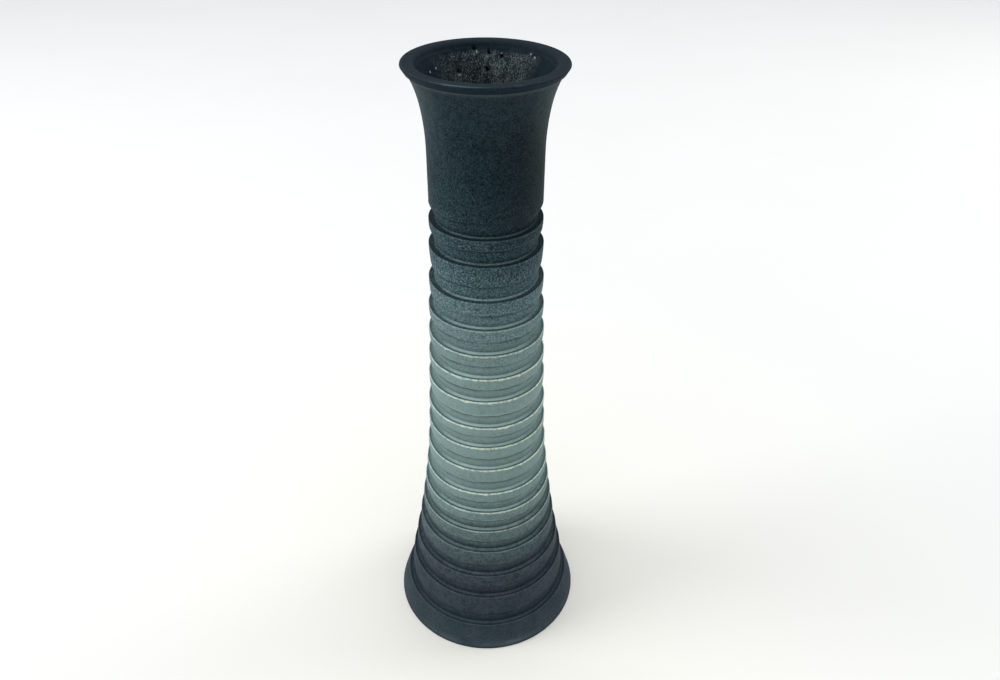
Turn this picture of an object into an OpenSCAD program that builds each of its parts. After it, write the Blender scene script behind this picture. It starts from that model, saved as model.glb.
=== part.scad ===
// Tall slim bud vase, turned in one piece: a flared neck over a body cut with
// unevenly spaced rings, which spreads into a wide foot.
// Millimetres, +Z up, origin at the centre of the circle that it stands on.

/* [Rim and neck] */
// Outer radius of the rim
rim_r = 27.4; // [26.8:0.1:28.4]
// Width of the rim's rounded top, from the outer edge to the mouth
rim_w = 4.8; // [3.8:0.1:5.4]
// Height of the band that edges the rim
lip_h = 2.6; // [1.8:0.1:3.2]
// How far the band stands proud of the neck at its lower edge
lip_proud = 0.5; // [0.2:0.1:1]
// Radius of the straight part of the neck
neck_r = 20.2; // [19.6:0.1:21]
// Height of the whole neck, from its shoulder to the rim
neck_h = 48; // [44:1:56]
// Height of the neck's outward sweep
sweep_h = 30; // [26:1:34]
// Radius that the sweep would add if it ran out level
sweep_r = 9.4; // [8.4:0.1:10]

/* [Rings] */
// Distance from each ring's top edge to the next one down
ring_pitch = [10, 14, 11.5, 11, 10.5, 10.5, 12.5, 10, 11.5, 12, 10, 10, 11, 13, 11.5, 15];
// Height of the foot flange, under the lowest groove
flange_h = 12; // [10:0.5:16]
// Height of the groove under the neck; the grooves below it get lower
groove_h_top = 6; // [5:0.1:7]
// Height of the groove above the foot flange
groove_h_low = 5; // [4:0.1:6]
// Width of the ledge on the top ring, from groove to edge
ledge_top = 2.7; // [2:0.1:3]
// Width of the ledge on the foot flange
ledge_low = 1.9; // [1.2:0.1:2.4]
// How far each ring's face leans in from the body's outline, in degrees
face_lean = 6; // [0:0.5:8]
// Small step in where a face ends and its groove begins
face_step = 0.3; // [0.1:0.05:0.5]

/* [Body outline] */
// Gain in radius for each millimetre down from the neck's shoulder
body_taper = 0.04; // [0.03:0.002:0.05]
// Height at which the body starts to spread into the foot
spread_h = 105; // [90:1:120]
// Radius that the spread adds at the bottom
spread_r = 11.8; // [9:0.1:13]
// How late the spread sets in; higher is later
spread_power = 1.8; // [1.5:0.1:2.4]
// Extra kick of the foot flange's edge
flange_kick = 1.1; // [0.4:0.1:1.6]

/* [Inside] */
// Radius of the drilled bore
bore_r = 13; // [8:0.5:14]
// Thickness of wood left under the bore
floor_t = 20; // [12:1:60]
// Depth of the mouth, where the bore widens towards the rim
mouth_h = 55; // [40:1:70]
// Radius of the shallow dish turned under the foot
dish_r = 33; // [24:1:36]
// Depth of that dish
dish_h = 1.5; // [0.5:0.5:3]

/* [Hidden] */
$fn = 128;

// Steps in the neck's sweep and the mouth, and in each rounded edge of the rim
sweep_steps = 14;
round_steps = 6;
// Radius of the rim's outer edge, and drop from the rim to where the mouth begins
rim_edge = 0.8;
rim_drop = 1.6;
// Share of its ellipse's height at which the mouth's curve stops
mouth_share = 0.94;

// Sum of the first n pitches
function pitch_sum(n) = n == 0 ? 0 : ring_pitch[n - 1] + pitch_sum(n - 1);

// Heights
rings = len(ring_pitch) + 1;
first_ring_z = flange_h + pitch_sum(rings - 1);
shoulder_z = first_ring_z + groove_h_top;
height = shoulder_z + neck_h;
lip_z = height - lip_h;
sweep_z = height - sweep_h;
mouth_z = height - mouth_h;

// Blend from a to b by t
function mix(a, b, t) = a + (b - a) * t;

// Outline that the rings' top edges follow, widening towards the foot
function spread_at(z) = spread_r * pow(max(0, 1 - z / spread_h), spread_power);
function kick_at(z) = flange_kick * max(0, 1 - z / flange_h);
function body_r(z) = neck_r + body_taper * (shoulder_z - z) + spread_at(z) + kick_at(z);

// Ring i's top edge, counted down from the neck, and the groove above that edge
function ring_z(i) = first_ring_z - pitch_sum(i);
function groove_z(i) = ring_z(i) + mix(groove_h_top, groove_h_low, i / (rings - 1));
function ledge_w(i) = mix(ledge_top, ledge_low, i / (rings - 1));
// Radius at the groove's top, where the neck or the face of the ring above ends
function face_h(i) = ring_z(i) - groove_z(i + 1);
function groove_r(i) = i == 0 ? neck_r : body_r(groove_z(i)) - face_h(i - 1) * tan(face_lean);
function ring_points(i) = [
    [groove_r(i), groove_z(i)],
    [groove_r(i) - face_step, groove_z(i) - face_step],
    [body_r(ring_z(i)) - ledge_w(i), ring_z(i)],
    [body_r(ring_z(i)), ring_z(i)]
];

// Outside of the neck: a quarter of an ellipse that runs down into the straight
function sweep_at(t) = sweep_r * (1 - sqrt(1 - t * t));
neck_points = [
    for (k = [sweep_steps:-1:0])
        let (z = mix(sweep_z, lip_z, k / sweep_steps))
        [neck_r + sweep_at((z - sweep_z) / sweep_h), z]
];
lip_point = neck_points[0] + [lip_proud, 0];

// Inside of the mouth: an ellipse from the bore up to the rim's inner edge
mouth_r = rim_r - rim_w;
mouth_a = (mouth_r - bore_r) / (1 - sqrt(1 - mouth_share * mouth_share));
mouth_b = (mouth_h - rim_drop) / mouth_share;
mouth_points = [
    for (k = [0:sweep_steps - 1])
        let (t = mouth_share * k / sweep_steps)
        [bore_r + mouth_a * (1 - sqrt(1 - t * t)), mouth_z + mouth_b * t]
];

// Rounded edges of the rim
rim_inner_points = [
    for (k = [0:round_steps])
        let (a = 90 * k / round_steps)
        [mouth_r + rim_drop * (1 - cos(a)), height - rim_drop * (1 - sin(a))]
];
rim_outer_points = [
    for (k = [0:round_steps])
        let (a = 90 * k / round_steps)
        [rim_r - rim_edge * (1 - sin(a)), height - rim_edge * (1 - cos(a))]
];

// Half section: bore and mouth, over the rim, down the outside, dish
module half_section() {
    polygon(concat(
        [[0, floor_t], [bore_r, floor_t]],
        mouth_points,
        rim_inner_points,
        rim_outer_points,
        [lip_point],
        neck_points,
        [for (i = [0:rings - 1]) each ring_points(i)],
        [[body_r(0), 0], [dish_r, 0], [dish_r - dish_h, dish_h], [0, dish_h]]
    ));
}

module vase_body() {
    color([0.27, 0.35, 0.36]) rotate_extrude() half_section();
}

vase_body();
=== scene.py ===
# A tall slim vase turned in one piece, with a faded matte paint that is rubbed
# through on the ring edges. Metres, +Z up, standing at the origin.
import math
import random

import bpy
import numpy as np
from mathutils import Matrix, Vector, noise


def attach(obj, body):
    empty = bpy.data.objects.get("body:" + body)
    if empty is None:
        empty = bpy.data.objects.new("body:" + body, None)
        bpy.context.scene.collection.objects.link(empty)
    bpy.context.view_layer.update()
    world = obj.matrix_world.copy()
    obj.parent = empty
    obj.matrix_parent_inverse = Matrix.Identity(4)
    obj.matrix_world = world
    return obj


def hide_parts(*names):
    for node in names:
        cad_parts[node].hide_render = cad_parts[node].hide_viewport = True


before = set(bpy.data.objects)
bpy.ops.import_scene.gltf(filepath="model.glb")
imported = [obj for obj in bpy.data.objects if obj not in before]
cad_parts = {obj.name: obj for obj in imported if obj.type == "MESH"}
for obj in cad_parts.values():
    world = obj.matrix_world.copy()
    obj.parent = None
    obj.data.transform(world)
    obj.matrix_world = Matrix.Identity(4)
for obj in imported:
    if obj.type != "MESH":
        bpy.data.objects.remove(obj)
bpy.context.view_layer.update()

MM = 0.001
SEED = 11

# ---------------------------------------------------------------- dimensions
# The CAD part's driving sizes, in millimetres.
RIM_R = 27.4
RIM_W = 4.8
LIP_H = 2.6
LIP_PROUD = 0.5
NECK_R = 20.2
NECK_H = 48.0
SWEEP_H = 30.0
SWEEP_R = 9.4
RING_PITCH = (10, 14, 11.5, 11, 10.5, 10.5, 12.5, 10, 11.5, 12, 10, 10, 11, 13, 11.5, 15)
FLANGE_H = 12.0
GROOVE_H = (6.0, 5.0)
LEDGE_W = (2.7, 1.9)
FACE_LEAN = math.radians(6)
FACE_STEP = 0.3
BODY_TAPER = 0.04
SPREAD_H = 105.0
SPREAD_R = 11.8
SPREAD_POWER = 1.8
FLANGE_KICK = 1.1
BORE_R = 13.0
FLOOR_T = 20.0
MOUTH_H = 55.0
MOUTH_SHARE = 0.94
DISH_R = 33.0
DISH_H = 1.5
RIM_EDGE = 0.8
RIM_DROP = 1.6
FOOT_EDGE = 0.5

RINGS = len(RING_PITCH) + 1
FIRST_Z = FLANGE_H + sum(RING_PITCH)
SHOULDER_Z = FIRST_Z + GROOVE_H[0]
HEIGHT = SHOULDER_Z + NECK_H
RING_Z = [FIRST_Z - sum(RING_PITCH[:i]) for i in range(RINGS)]

SEGMENTS = 224
ANGLES = np.arange(SEGMENTS) * 2 * math.pi / SEGMENTS


def mix(a, b, t):
    return a + (b - a) * t


def body_r(z):
    """Outline that the rings' top edges follow."""
    spread = SPREAD_R * max(0.0, 1 - z / SPREAD_H) ** SPREAD_POWER
    kick = FLANGE_KICK * max(0.0, 1 - z / FLANGE_H)
    return NECK_R + BODY_TAPER * (SHOULDER_Z - z) + spread + kick


def neck_r(z):
    """Outside of the neck: straight, then a quarter of an ellipse."""
    t = max(0.0, (z - HEIGHT + SWEEP_H) / SWEEP_H)
    return NECK_R + SWEEP_R * (1 - math.sqrt(1 - t * t))


def mouth_curve(t):
    """Inside of the mouth at share t of its ellipse, as radius and height."""
    reach = 1 - math.sqrt(1 - MOUTH_SHARE**2)
    radius = BORE_R + (RIM_R - RIM_W - BORE_R) / reach * (1 - math.sqrt(1 - t * t))
    return radius, HEIGHT - MOUTH_H + (MOUTH_H - RIM_DROP) / MOUTH_SHARE * t


# ------------------------------------------------------------- hand's wobble
rng = random.Random(SEED)


def wobble(size, waves):
    """A smooth random offset around the vase, one value for each angle."""
    total = np.zeros(SEGMENTS)
    for n in waves:
        total += rng.uniform(0.4, 1) * np.sin(n * ANGLES + rng.uniform(0, 2 * math.pi))
    return size * total / math.sqrt(len(waves))


# --------------------------------------------------------------- the profile
class Profile:
    """Rows of points, each a full turn, with a weight for each painted mark."""

    MARKS = ("edge", "corner", "shade", "crease", "inside", "torn", "chip")

    def __init__(self):
        self.r, self.z = [], []
        self.marks = {name: [] for name in self.MARKS}

    def row(self, r, z, **marks):
        self.r.append(np.zeros(SEGMENTS) + r)
        self.z.append(np.zeros(SEGMENTS) + z)
        for name in self.MARKS:
            self.marks[name].append(np.zeros(SEGMENTS) + marks.get(name, 0.0))


def ramp_down(value, full, none):
    """1 up to full, falling to 0 at none."""
    return np.clip((none - value) / (none - full), 0, 1)


def add_inside(p):
    """Up the bore and the mouth to the rim's inner edge."""
    # The torn wood's pale specks show on the front and back; the sides of the inside are painted smooth
    # and darker as shade.
    unshaded_front_back = np.clip((np.abs(np.sin(ANGLES)) - 0.5) / 0.42, 0.06, 1)
    ragged = wobble(0.6, (3, 5, 8, 13, 21, 34))
    for r in (0.35, 0.7, 0.95):
        p.row(BORE_R * r, FLOOR_T, inside=1)
    for z in (FLOOR_T + 0.6, 60, 110, 150, HEIGHT - MOUTH_H):
        p.row(BORE_R, z, inside=1, torn=0.5)
    deep_rows, torn_rows = 7, 27
    for k in range(1, deep_rows):
        p.row(*mouth_curve(0.68 * k / deep_rows), inside=1, torn=unshaded_front_back)
    for k in range(torn_rows):
        r, z = mouth_curve(mix(0.68, MOUTH_SHARE, k / torn_rows))
        torn = unshaded_front_back * ramp_down(z + ragged, HEIGHT - 3.6, HEIGHT - 2.4)
        p.row(r, z, inside=ramp_down(z, HEIGHT - 2.7, HEIGHT - 2.0), torn=torn)


# Where the painted highlight sits on the rim's outer edge: angle round the vase, and half width.
RIM_HIGHLIGHT_ANGLE = 252
RIM_HIGHLIGHT_WIDTH = 15


def add_rim(p):
    """Up over the rounded inside of the rim and across its flat top, with painted shade on both."""
    inner_r = RIM_R - RIM_W
    for k in range(5):
        a = math.radians(90 * k / 5)
        r = inner_r + RIM_DROP * (1 - math.cos(a))
        p.row(r, HEIGHT - RIM_DROP * (1 - math.sin(a)), shade=0.7)
    flat_from, flat_to = inner_r + RIM_DROP, RIM_R - RIM_EDGE
    # Painted shade on the flat top, darker towards the back of the rim.
    rim_top_shade = 0.95 + 0.3 * np.clip(np.sin(ANGLES), 0, 1)
    for t in (0, 0.33, 0.67):
        p.row(mix(flat_from, flat_to, t), HEIGHT, shade=rim_top_shade)


def add_rim_edge(p):
    """The rim's rounded outer edge, with a painted highlight in one spot and painted shade, darkest at
    the back.
    """
    highlight_spot = (ANGLES - math.radians(RIM_HIGHLIGHT_ANGLE)) / math.radians(RIM_HIGHLIGHT_WIDTH)
    shine = 0.8 * np.exp(-highlight_spot**2) + np.clip(wobble(0.25, (2, 5, 9, 23)), 0.08, 0.4)
    back = np.clip(3 * np.sin(ANGLES), 0, 1)
    for k in range(7):
        a = math.radians(90 * k / 6)
        r = RIM_R - RIM_EDGE * (1 - math.sin(a))
        z = HEIGHT - RIM_EDGE * (1 - math.cos(a))
        if k in (2, 3):
            p.row(r, z, corner=shine * (1 - back), shade=mix(0, 1.4, back))
        else:
            p.row(r, z, shade=mix(0.5, 1.4, back))


def add_lip(p):
    """The band round the rim's outside and the step back to the neck."""
    lip_z = HEIGHT - LIP_H
    lip_r = neck_r(lip_z) + LIP_PROUD
    # The band faces down under the rim's edge and is painted dark as shade.
    for t in (0.3, 0.7, 0.95):
        p.row(mix(RIM_R, lip_r, t), mix(HEIGHT - RIM_EDGE, lip_z, t), shade=1.4)
    p.row(lip_r - 0.12, lip_z - 0.02, shade=1.3)
    p.row(neck_r(lip_z) + 0.02, lip_z - 0.1, shade=1)
    p.row(neck_r(lip_z - 0.35), lip_z - 0.35, corner=0.35)


def add_neck(p):
    """Down the sweep and the straight neck, with a painted sheen near the top of both sides."""
    rows = 20
    # Painted sheen: paler towards both sides near the top of the neck.
    dust_and_sheen = 0.45 * np.clip((np.abs(np.cos(ANGLES)) - 0.6) / 0.4, 0, 1)
    for k in range(1, rows + 1):
        z = mix(HEIGHT - LIP_H - 0.5, SHOULDER_Z + 0.3, (k / rows) ** 1.25)
        p.row(neck_r(z), z, corner=dust_and_sheen * max(0, (z - 215) / 32))


def groove_z(i):
    return RING_Z[i] + mix(*GROOVE_H, i / (RINGS - 1))


def face_end(i):
    """Where the face of ring i ends, as radius and height."""
    if i + 1 == RINGS:
        return body_r(FOOT_EDGE), FOOT_EDGE
    z = groove_z(i + 1)
    return body_r(z) - (RING_Z[i] - z) * math.tan(FACE_LEAN), z


class Ring:
    """One ring and the groove above it, with the small errors of hand turning."""

    def __init__(self, i):
        self.i = i
        self.top_z = RING_Z[i]
        self.edge_r = body_r(self.top_z)
        self.ledge_w = mix(*LEDGE_W, i / (RINGS - 1))
        self.ledge_r = self.edge_r - self.ledge_w
        self.cut_r, cut_z = face_end(i - 1) if i else (NECK_R, groove_z(0))
        # How far it belongs to the dark rings at the foot, and to those under the neck.
        self.low = min(1.0, max(0.0, (i - 10) / 3))
        self.high = min(1.0, max(0.0, (4 - i) / 2))
        self.cut = cut_z + wobble(0.16, (3, 7, 11, 17, 23, 31))
        self.turn = wobble(0.05, (1, 2, 3, 5))
        self.rise = wobble(0.06, (1, 2, 4, 9))
        # Now and then a painted highlight on a small ridge above the crease.
        self.burr_highlight = rng.choice((0, 0, 0, 0, 0.4))

    def row(self, p, r, up, **marks):
        """A row at some height above the ring's top edge."""
        p.row(r + self.turn, self.top_z + up + self.rise, **marks)

    def add_groove(self, p):
        """A small step where the face above ends, then the sloping wall, with painted shade in the
        crease and on the wall.
        """
        step_r, step_z = self.cut_r - FACE_STEP, self.cut - FACE_STEP
        p.row(self.cut_r + self.turn, self.cut + 0.3, corner=self.burr_highlight, crease=0.1)
        p.row(self.cut_r - 0.08 + self.turn, self.cut, crease=0.75, shade=0.1 * self.low)
        p.row(step_r + self.turn, step_z, crease=1, shade=0.25 * self.low)
        for t in (0.12, 0.5, 0.9):
            r = mix(step_r, self.ledge_r, t) - 0.15 * math.sin(math.pi * t)
            z = mix(step_z, self.top_z + self.rise, t)
            shade = mix(0.15 * t, 0.2 + 1.45 * t**2, self.low)
            p.row(r + self.turn, z, shade=shade, crease=max(0, 0.4 - t))

    def add_ledge(self, p):
        """A pale line of paint in the corner, then a strip of painted shade on the ledge. Returns its
        end.
        """
        low, high = self.low, self.high
        # Painted light and shade: the pale corner line is strongest on the front and back, and the
        # corners and ledges at the sides are painted darker.
        lit_front_back = np.clip((np.abs(np.sin(ANGLES)) - 0.5) / 0.42, 0.12, 1)
        corner_shade = mix(0.45, 0.35, high) * (1 - lit_front_back) + 0.25 * low
        pale_to = self.ledge_r + self.ledge_w * mix(mix(0.4, 0.22, high), 0.45, low)
        rub_in = mix(mix(0.25 + 0.22 * lit_front_back, 0.22, high), 0.12, low)
        dark_to = self.edge_r - rub_in + wobble(0.06, (4, 9, 19, 33))
        dark_from = mix(dark_to - 0.5, pale_to + 0.12, np.maximum(lit_front_back, max(low, high)))
        dark = mix(mix(0.85, 1.25, high), 0.95, low)
        self.row(p, self.ledge_r + 0.02, 0.35, corner=lit_front_back, shade=0.3 * low)
        self.row(p, pale_to, 0, corner=lit_front_back, shade=corner_shade)
        self.row(p, dark_from, -0.06, shade=dark)
        self.row(p, dark_to - 0.1, -0.12, shade=dark)
        return dark_to

    def add_edge(self, p, strip_end):
        """The edge, with the paint rubbed off on both sides by an uneven width, and painted shade
        beside it on the low rings.
        """
        rub = 0.15 + np.abs(wobble(0.35, (4, 9, 14, 22, 37, 53)))
        self.row(p, strip_end, 0, edge=1, shade=0.7 * self.low)
        self.row(p, self.edge_r - 0.1, 0, edge=1, shade=0.3 * self.low)
        self.row(p, self.edge_r, -0.1, edge=1)
        self.row(p, self.edge_r, -0.1 - rub, edge=0.85)
        self.row(p, self.edge_r, -0.4 - rub)

    def add_face(self, p):
        """The outside, leaning in a little and faintly rounded."""
        end_r, end_z = face_end(self.i)
        # The lowest face is finished by the foot's own rows.
        shares = (0.3, 0.6) if self.i + 1 == RINGS else (0.3, 0.6, 0.85)
        for t in shares:
            r = mix(self.edge_r, end_r, t) + 0.12 * math.sin(math.pi * t)
            p.row(r + self.turn, mix(self.top_z, end_z, t))


def add_ring(p, i):
    ring = Ring(i)
    ring.add_groove(p)
    strip_end = ring.add_ledge(p)
    ring.add_edge(p, strip_end)
    ring.add_face(p)


# The dusty strip along the foot's front: height and strength.
FOOT_DUST = ((3.4, 0.3), (2.2, 1), (1.3, 0.6))


def add_foot(p):
    """The end of the lowest face with its strip of dust, its bottom edge painted dark as shade, and the
    dish underneath.
    """
    front = np.clip(-1.4 * np.sin(ANGLES) - 0.3, 0, 1)
    # Dust only here: a pale strip along the front of the foot.
    dust_and_sheen = front * np.clip(0.4 + wobble(0.6, (2, 3, 7, 16)), 0, 1)
    for z, strength in FOOT_DUST:
        up = (z - FOOT_EDGE) / (FLANGE_H - FOOT_EDGE)
        p.row(mix(body_r(FOOT_EDGE), body_r(FLANGE_H), up), z, corner=strength * dust_and_sheen)
    p.row(body_r(0.8), 0.8, shade=0.4)
    p.row(body_r(0.4) - 0.05, 0.35, shade=1.1)
    p.row(body_r(0) - 0.35, 0, shade=1.4)
    p.row(DISH_R, 0)
    p.row(DISH_R - DISH_H, DISH_H)
    p.row(DISH_R * 0.5, DISH_H)


# --------------------------------------------------------- roughness as shape
# Deep pits torn out under the rim, and chips that show bare wood:
# angle in degrees from the back, and height.
PITS = ((-10, 247.4), (3, 246.2), (15, 245.3), (2, 241.3), (-28, 241.2))
CHIPS = (
    (-8, 246.6), (1, 245.4), (15, 246.3), (-28, 240.2),
    (-54, 243.8), (-64, 243.6), (44, 247.5), (49, 246.6),
)
# How far each kind of roughness pushes the surface, in millimetres.
GRIT_DEPTH = 0.02
TEAR_DEPTH = 0.45
HOLLOW_DEPTH = 0.35
PIT_DEPTH = 1.3


def near(x, y, z, radius, spots, reach):
    """How close a point is to the nearest of some spots: 1 at a spot, 0 far away."""
    close = 0.0
    for degrees, height in spots:
        a = math.radians(degrees)
        away = (x - radius * math.sin(a)) ** 2 + (y - radius * math.cos(a)) ** 2 + (z - height) ** 2
        close = max(close, math.exp(-away / reach**2))
    return close


def roughen(points, inside, chip):
    """Moves each point along its radius: torn wood inside, faint grit outside."""
    for row in range(points.shape[0]):
        for col in range(points.shape[1]):
            x, y, z = points[row, col]
            radius = math.hypot(x, y)
            if radius < 1e-6:
                continue
            torn = inside[row, col]
            push = GRIT_DEPTH * noise.noise(Vector((x * 1.3, y * 1.3, z * 0.6)))
            if torn > 0 and z > HEIGHT - MOUTH_H:
                place = Vector((x * 0.9, y * 0.9, z * 0.55))
                broad = Vector((x * 0.35, y * 0.35, z * 0.12))
                push += torn * TEAR_DEPTH * noise.turbulence(place, 4, True)
                push += torn * HOLLOW_DEPTH * noise.noise(broad)
                push += PIT_DEPTH * near(x, y, z, radius, PITS, 0.6)
                chip[row, col] = near(x, y, z, radius, CHIPS, 0.5)
                chip[row, col] -= near(x, y, z, radius, PITS, 0.65)
            points[row, col, 0] += push * x / radius
            points[row, col, 1] += push * y / radius


def skin(rows):
    """Quads between the rows, and a fan of triangles round each end's centre."""
    faces = []
    for row in range(rows - 1):
        a, b = row * SEGMENTS, (row + 1) * SEGMENTS
        for k in range(SEGMENTS):
            n = (k + 1) % SEGMENTS
            faces.append((a + k, a + n, b + n, b + k))
    inner, outer = rows * SEGMENTS, rows * SEGMENTS + 1
    last = (rows - 1) * SEGMENTS
    for k in range(SEGMENTS):
        n = (k + 1) % SEGMENTS
        faces.append((inner, n, k))
        faces.append((outer, last + k, last + n))
    return faces


def store_marks(mesh, marks):
    """Each mark as an attribute of the points. The last two are the fans' centres."""
    for name in Profile.MARKS:
        layer = mesh.attributes.new(name, "FLOAT", "POINT")
        values = np.concatenate([np.array(marks[name]).reshape(-1), [0, 0]])
        if name == "inside":
            values[-2] = 1
        layer.data.foreach_set("value", values.astype(np.float32))


def build_vase():
    p = Profile()
    add_inside(p)
    add_rim(p)
    add_rim_edge(p)
    add_lip(p)
    add_neck(p)
    for i in range(RINGS):
        add_ring(p, i)
    add_foot(p)

    r, z = np.array(p.r), np.array(p.z)
    points = np.stack([r * np.cos(ANGLES), r * np.sin(ANGLES), z], -1)
    p.marks["chip"] = np.zeros(points.shape[:2])
    roughen(points, np.array(p.marks["inside"]), p.marks["chip"])
    verts = [tuple(v) for v in points.reshape(-1, 3) * MM]
    verts += [(0, 0, FLOOR_T * MM), (0, 0, DISH_H * MM)]

    mesh = bpy.data.meshes.new("vase")
    mesh.from_pydata(verts, [], skin(len(r)))
    store_marks(mesh, p.marks)
    mesh.shade_smooth()
    mesh.set_sharp_from_angle(angle=math.radians(50))
    vase = bpy.data.objects.new("vase", mesh)
    bpy.context.scene.collection.objects.link(vase)
    return vase


# ----------------------------------------------------------------- materials
class Nodes:
    """Short forms for building a material's node tree."""

    def __init__(self, name):
        self.material = bpy.data.materials.new(name)
        self.material.use_nodes = True
        self.tree = self.material.node_tree
        self.shader = self.tree.nodes["Principled BSDF"]

    def link(self, source, target):
        if hasattr(source, "is_output"):
            self.tree.links.new(source, target)
        else:
            target.default_value = source

    def math(self, operation, a, b=0.0, clamp=False):
        node = self.tree.nodes.new("ShaderNodeMath")
        node.operation = operation
        node.use_clamp = clamp
        self.link(a, node.inputs[0])
        self.link(b, node.inputs[1])
        return node.outputs[0]

    def mix(self, factor, a, b, blend="MIX"):
        node = self.tree.nodes.new("ShaderNodeMix")
        node.data_type = "RGBA"
        node.blend_type = blend
        self.link(factor, node.inputs["Factor"])
        self.link(a, node.inputs["A"])
        self.link(b, node.inputs["B"])
        return node.outputs["Result"]

    def span(self, value, low, high, to_low=0.0, to_high=1.0):
        node = self.tree.nodes.new("ShaderNodeMapRange")
        self.link(value, node.inputs["Value"])
        node.inputs["From Min"].default_value = low
        node.inputs["From Max"].default_value = high
        node.inputs["To Min"].default_value = to_low
        node.inputs["To Max"].default_value = to_high
        return node.outputs["Result"]

    def split(self, value, kind):
        """The three parts of a vector (kind XYZ) or of a colour (kind Color)."""
        node = self.tree.nodes.new("ShaderNodeSeparate" + kind)
        self.tree.links.new(value, node.inputs[0])
        return list(node.outputs)

    def mark(self, name):
        node = self.tree.nodes.new("ShaderNodeAttribute")
        node.attribute_name = name
        return node.outputs["Fac"]

    def place(self):
        return self.tree.nodes.new("ShaderNodeTexCoord").outputs["Object"]

    def noise(self, scale, detail=3.0, stretch=(1, 1, 1), roughness=0.55, offset=0.0):
        mapping = self.tree.nodes.new("ShaderNodeMapping")
        mapping.inputs["Scale"].default_value = stretch
        mapping.inputs["Location"].default_value = (offset, offset, offset)
        self.tree.links.new(self.place(), mapping.inputs["Vector"])
        node = self.tree.nodes.new("ShaderNodeTexNoise")
        node.inputs["Scale"].default_value = scale
        node.inputs["Detail"].default_value = detail
        node.inputs["Roughness"].default_value = roughness
        self.tree.links.new(mapping.outputs["Vector"], node.inputs["Vector"])
        return node.outputs["Fac"]

    def ramp(self, value, stops):
        node = self.tree.nodes.new("ShaderNodeValToRGB")
        elements = node.color_ramp.elements
        while len(elements) < len(stops):
            elements.new(0.5)
        for element, (at, color) in zip(elements, stops):
            element.position = at
            element.color = (*color, 1)
        self.link(value, node.inputs["Fac"])
        return node.outputs["Color"]


def srgb(r, g, b):
    """A colour given as 0 to 255 screen values, as linear light."""
    def linear(c):
        c /= 255
        return c / 12.92 if c <= 0.04045 else ((c + 0.055) / 1.055) ** 2.4
    return tuple(linear(c) for c in (r, g, b))


# The fade, from the foot up: height in millimetres and colour.
FADE = (
    (0, srgb(53, 66, 75)),
    (12, srgb(45, 59, 67)),
    (34, srgb(54, 65, 73)),
    (46, srgb(67, 82, 87)),
    (60, srgb(94, 112, 113)),
    (76, srgb(119, 142, 140)),
    (100, srgb(127, 151, 148)),
    (135, srgb(127, 151, 148)),
    (150, srgb(115, 138, 137)),
    (166, srgb(94, 118, 122)),
    (182, srgb(62, 84, 90)),
    (196, srgb(36, 55, 61)),
    (212, srgb(21, 41, 47)),
    (228, srgb(19, 37, 43)),
    (240, srgb(28, 45, 51)),
    (247, srgb(34, 50, 56)),
    (250, srgb(28, 41, 48)),
)
# By height in millimetres: contrast of the droplets, how far they scatter the
# fade (in centimetres), and how strong the corner mark is: pale paint in the
# corners, with the painted highlights and sheen on the same mark.
SPECKLE = (
    (0, (0.34, 0.05, 0.13)),
    (12, (0.4, 0.05, 0.03)),
    (30, (0.62, 0.06, 0.03)),
    (52, (0.42, 0.1, 0.12)),
    (72, (0.2, 0.2, 0.5)),
    (90, (0.2, 0.3, 0.62)),
    (140, (0.2, 0.35, 0.68)),
    (160, (0.3, 0.45, 0.5)),
    (185, (0.5, 0.4, 0.16)),
    (200, (0.65, 0.35, 0.1)),
    (230, (0.65, 0.2, 0.16)),
    (250, (0.35, 0.2, 0.16)),
)
CREAM = (*srgb(216, 226, 200), 1)
DUST = (*srgb(148, 160, 162), 1)
PALE = (*srgb(188, 213, 210), 1)
GREY = (*srgb(66, 71, 80), 1)
DEEP_SHADE = (0.002, 0.010, 0.018, 1)
PIT_SHADE_BLACK = (0.001, 0.002, 0.003, 1)
SMOOTH_INSIDE = (0.003, 0.012, 0.020, 1)
TORN_DARK = (0.004, 0.009, 0.014, 1)
TORN_LIGHT = (0.022, 0.032, 0.040, 1)
BARE_SPECK = (0.38, 0.44, 0.43, 1)
GRIT_SCALE = 1900
DROP_SCALE = 1450
# Heights in metres between which an effect goes from none to full.
FOOT_PATCHES = (0.062, 0.040)
NECK_FROM_BELOW = (0.165, 0.200)
NECK_FROM_ABOVE = (0.246, 0.222)
RUBBED_FROM_BELOW = (0.040, 0.078)
RUBBED_FROM_ABOVE = (0.176, 0.142)


def faded(n, share, height, scatter, blot, cloud):
    """The fade, dithered by the spray's droplets, with greyer patches on the foot."""
    droplets = n.noise(DROP_SCALE, 2, offset=5)
    drops = n.math("MULTIPLY", n.span(droplets, 0.25, 0.75, -0.22, 0.22), scatter)
    drift = n.span(blot, 0.3, 0.7, -0.014, 0.014)
    level = n.math("ADD", share, n.math("ADD", drops, drift))
    color = n.ramp(level, [(z / HEIGHT, c) for z, c in FADE])
    patches = n.span(cloud, 0.42, 0.62, 0.0, 0.32)
    greyer = n.math("MULTIPLY", patches, n.span(height, *FOOT_PATCHES))
    return n.mix(greyer, color, GREY)


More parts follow.
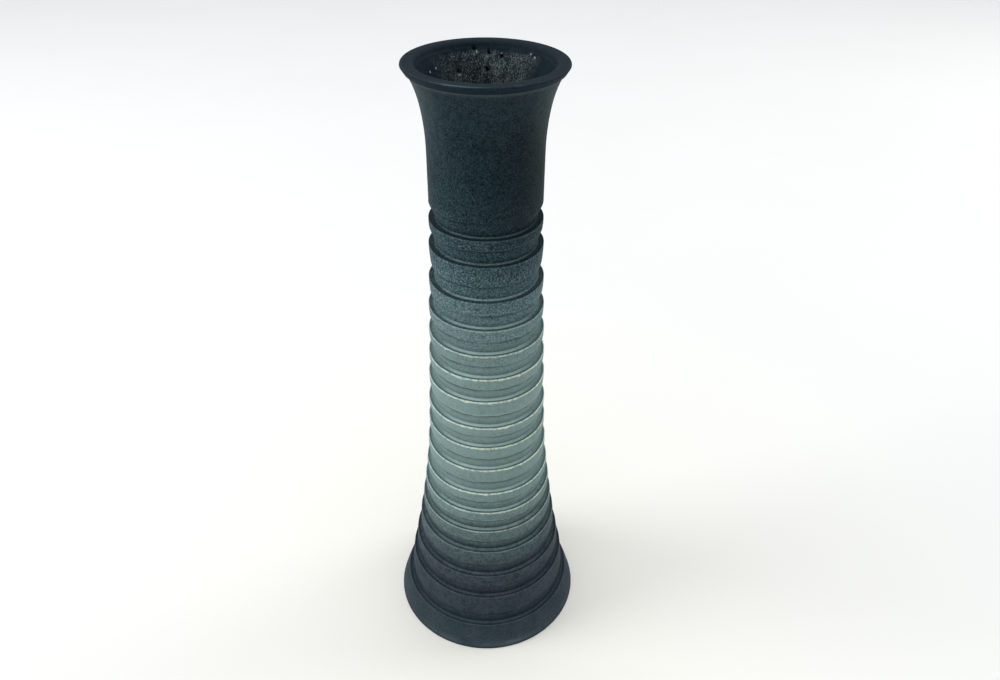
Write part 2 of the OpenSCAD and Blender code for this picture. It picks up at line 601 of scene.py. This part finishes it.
def mottled(n, color, speckle, grit, blot, cloud, turning):
    """Droplets, blots, grain and tool marks as light and dark."""
    grain = n.noise(700, 3, stretch=(1, 1, 0.08))
    coarse = n.math("ADD", n.span(blot, 0.3, 0.7, -0.4, 0.4), n.span(cloud, 0.3, 0.7, -0.2, 0.2))
    swing = n.math("ADD", n.span(grit, 0.3, 0.7, -1.7, 1.7), coarse)
    swing = n.math("MULTIPLY", swing, speckle)
    dust = n.math("MULTIPLY", n.math("MAXIMUM", swing, 0.0), 0.055)
    tone = n.math("ADD", n.math("MINIMUM", swing, 0.0), 1.0)
    streaks = n.span(turning, 0.3, 0.7, -0.07, 0.07)
    fine = n.math("ADD", n.span(grain, 0.3, 0.7, -0.04, 0.04), streaks)
    tone = n.math("MAXIMUM", n.math("ADD", tone, fine), 0.12)
    return n.mix(dust, n.mix(1.0, color, tone, "MULTIPLY"), DUST)


def lit_from_left(n, color, across, height):
    """Painted light on the neck: lighter on its left side and darker on its right."""
    left_light = n.span(across, -0.014, 0.012, 1.5, 0.72)
    neck = n.math("MULTIPLY", n.span(height, *NECK_FROM_BELOW), n.span(height, *NECK_FROM_ABOVE))
    return n.mix(1.0, color, n.mix(neck, (1, 1, 1, 1), left_light), "MULTIPLY")


def rubbed_edges(n, color, across, height):
    """How much of each edge is rubbed bare, over the middle of the fade, and its colour."""
    from_below = n.span(height, *RUBBED_FROM_BELOW)
    from_above = n.span(height, *RUBBED_FROM_ABOVE)
    uneven = n.span(n.noise(800, 3), 0.36, 0.52, 0.5, 1.0)
    rubbed = n.math("MULTIPLY", n.mark("edge"), uneven)
    middle = n.math("MULTIPLY", from_below, from_above)
    rubbed = n.math("MULTIPLY", rubbed, middle, clamp=True)
    sides = n.span(across, -0.019, -0.007)
    woody = n.math("MULTIPLY", n.span(n.noise(90, 2), 0.34, 0.48), sides)
    bare = n.mix(woody, PALE, CREAM)
    return rubbed, n.mix(rubbed, n.mix(0.4, color, PALE), bare)


def shaded(n, color):
    """Shade in the cuts, and in the creases with gaps."""
    gaps = n.span(n.noise(75, 4), 0.36, 0.56, 0.25, 0.9)
    crease = n.math("MULTIPLY", n.mark("crease"), gaps)
    shade = n.math("MULTIPLY", n.mark("shade"), 0.62)
    dark = n.math("MINIMUM", n.math("MAXIMUM", shade, crease), 0.93)
    return n.mix(dark, color, n.mix(0.85, color, DEEP_SHADE))


def torn_inside(n, blot):
    """Dark paint that misses the torn wood in specks, with chips, painted shade on the sides, and the
    deep holes painted black as shade.
    """
    fleck = n.noise(2500, 3, stretch=(1, 1, 0.7), roughness=0.7)
    crowd = n.span(n.noise(230, 2, stretch=(1, 1, 0.4)), 0.38, 0.62, -0.05, 0.04)
    specks = n.span(n.math("ADD", fleck, crowd), 0.47, 0.66)
    specks = n.math("MULTIPLY", specks, n.mark("torn"))
    specks = n.math("MULTIPLY", specks, 0.5, clamp=True)
    specks = n.math("MAXIMUM", specks, n.span(n.mark("chip"), 0.35, 0.7))
    deep = n.mix(n.span(blot, 0.35, 0.65), TORN_DARK, TORN_LIGHT)
    # Where the torn mark is low the colour is smooth and dark: a real band under the rim, and painted
    # shade on the sides.
    deep = n.mix(n.mark("torn"), SMOOTH_INSIDE, deep)
    pit_shade = n.span(n.mark("chip"), -0.25, -0.55)
    return n.mix(pit_shade, n.mix(specks, deep, BARE_SPECK), PIT_SHADE_BLACK)


def add_relief(n, grit, blot, turning):
    bump = n.tree.nodes.new("ShaderNodeBump")
    bump.inputs["Strength"].default_value = 0.4
    bump.inputs["Distance"].default_value = 0.00012
    relief = n.math("ADD", grit, n.math("MULTIPLY", blot, 1.2))
    relief = n.math("ADD", relief, n.math("MULTIPLY", turning, 0.3))
    n.link(relief, bump.inputs["Height"])
    n.link(bump.outputs["Normal"], n.shader.inputs["Normal"])


def painted_wood():
    n = Nodes("painted_wood")
    across, height = n.split(n.place(), "XYZ")[::2]
    grit = n.noise(GRIT_SCALE, 3, roughness=0.65)
    blot = n.noise(420, 3)
    cloud = n.noise(110, 3)
    turning = n.noise(120, 4, stretch=(0.12, 0.12, 22))
    share = n.math("DIVIDE", height, HEIGHT * MM)
    texture = n.ramp(share, [(z / HEIGHT, c) for z, c in SPECKLE])
    speckle, scatter, corner_paint = n.split(texture, "Color")

    color = faded(n, share, height, scatter, blot, cloud)
    color = mottled(n, color, speckle, grit, blot, cloud, turning)
    color = lit_from_left(n, color, across, height)
    rubbed, bare = rubbed_edges(n, color, across, height)
    color = shaded(n, color)

    # Paint gathered in the corners, the painted highlights and sheen on the same mark, and the edges
    # over everything.
    corner = n.math("MULTIPLY", n.mark("corner"), corner_paint)
    corner = n.math("MULTIPLY", corner, n.span(blot, 0.3, 0.6, 0.7, 1.0))
    color = n.mix(corner, color, PALE)
    faint = n.math("MULTIPLY", n.mark("edge"), 0.12)
    color = n.mix(n.math("MAXIMUM", rubbed, faint), color, bare)

    color = n.mix(n.mark("inside"), color, torn_inside(n, blot))
    n.link(color, n.shader.inputs["Base Color"])
    n.link(n.span(grit, 0.3, 0.7, 0.6, 0.75), n.shader.inputs["Roughness"])
    n.shader.inputs["Specular IOR Level"].default_value = 0.08
    add_relief(n, grit, blot, turning)
    return n.material


def paper():
    """Plain pale paper, with a painted warm tint close to the vase for the warm shade round its foot.
    """
    n = Nodes("paper")
    away = n.tree.nodes.new("ShaderNodeVectorMath")
    away.operation = "LENGTH"
    n.tree.links.new(n.place(), away.inputs[0])
    sheet = n.mix(n.noise(6, 3), (0.88, 0.88, 0.87, 1), (0.91, 0.91, 0.91, 1))
    sheet = n.mix(n.span(away.outputs["Value"], 0.3, 0.05), sheet, (0.93, 0.91, 0.85, 1))
    n.link(sheet, n.shader.inputs["Base Color"])
    n.shader.inputs["Roughness"].default_value = 0.9
    n.shader.inputs["Specular IOR Level"].default_value = 0.1
    return n.material


# ------------------------------------------------------- floor, light, camera
def build_floor():
    size = 6.0
    mesh = bpy.data.meshes.new("floor")
    corners = [(-size, -size, 0), (size, -size, 0), (size, size, 0), (-size, size, 0)]
    mesh.from_pydata(corners, [], [(0, 1, 2, 3)])
    mesh.materials.append(paper())
    floor = bpy.data.objects.new("floor", mesh)
    bpy.context.scene.collection.objects.link(floor)


def build_light(name, at, target, size, watts, color):
    light = bpy.data.lights.new(name, "AREA")
    light.shape = "DISK"
    light.size = size
    light.energy = watts
    light.color = color
    lamp = bpy.data.objects.new(name, light)
    lamp.location = at
    lamp.rotation_euler = (Vector(target) - Vector(at)).to_track_quat("-Z", "Y").to_euler()
    bpy.context.scene.collection.objects.link(lamp)


def build_world(horizon, zenith):
    """A pale studio sky, dimmer towards the horizon."""
    world = bpy.data.worlds.new("studio")
    world.use_nodes = True
    tree = world.node_tree
    split = tree.nodes.new("ShaderNodeSeparateXYZ")
    tree.links.new(tree.nodes.new("ShaderNodeTexCoord").outputs["Generated"], split.inputs[0])
    span = tree.nodes.new("ShaderNodeMapRange")
    span.inputs["To Min"].default_value = horizon
    span.inputs["To Max"].default_value = zenith
    tree.links.new(split.outputs["Z"], span.inputs["Value"])
    back = tree.nodes["Background"]
    back.inputs["Color"].default_value = (0.95, 0.98, 1.0, 1)
    tree.links.new(span.outputs["Result"], back.inputs["Strength"])
    bpy.context.scene.world = world


def build_camera():
    """A close view from above: distances are shares of the vase's height."""
    h = HEIGHT * MM
    yaw, pitch, roll = math.radians(1.16), math.radians(35.0), math.radians(0.46)
    ahead = Vector((math.sin(yaw) * math.cos(pitch), math.cos(yaw) * math.cos(pitch), -math.sin(pitch)))
    level = Vector((math.cos(yaw), -math.sin(yaw), 0))
    lift = level.cross(ahead)
    right = level * math.cos(roll) + lift * math.sin(roll)
    up = lift * math.cos(roll) - level * math.sin(roll)
    data = bpy.data.cameras.new("camera")
    data.sensor_width = 36
    data.lens = 29.2
    data.clip_start = 0.01
    camera = bpy.data.objects.new("camera", data)
    turn = Matrix((right, up, -ahead)).transposed().to_4x4()
    camera.matrix_world = Matrix.Translation((0, -1.0457 * h, 1.2989 * h)) @ turn
    bpy.context.scene.collection.objects.link(camera)
    bpy.context.scene.camera = camera


build_camera()
bpy.context.scene.view_settings.view_transform = "Standard"
build_floor()
build_world(0.45, 0.92)
build_light("window_left", (-1.3, -0.1, 0.9), (0, 0, 0.12), 0.9, 10, (1.0, 1.0, 1.0))
build_light("window_right", (1.3, 0.5, 0.8), (0, 0, 0.12), 0.8, 5, (1.0, 0.98, 0.94))
build_light("ceiling", (0, 0.5, 1.7), (0, 0, 0), 1.2, 3, (1.0, 0.99, 0.97))

vase = build_vase()
vase.data.materials.append(painted_wood())
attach(vase, "root")
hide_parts("vase_body")
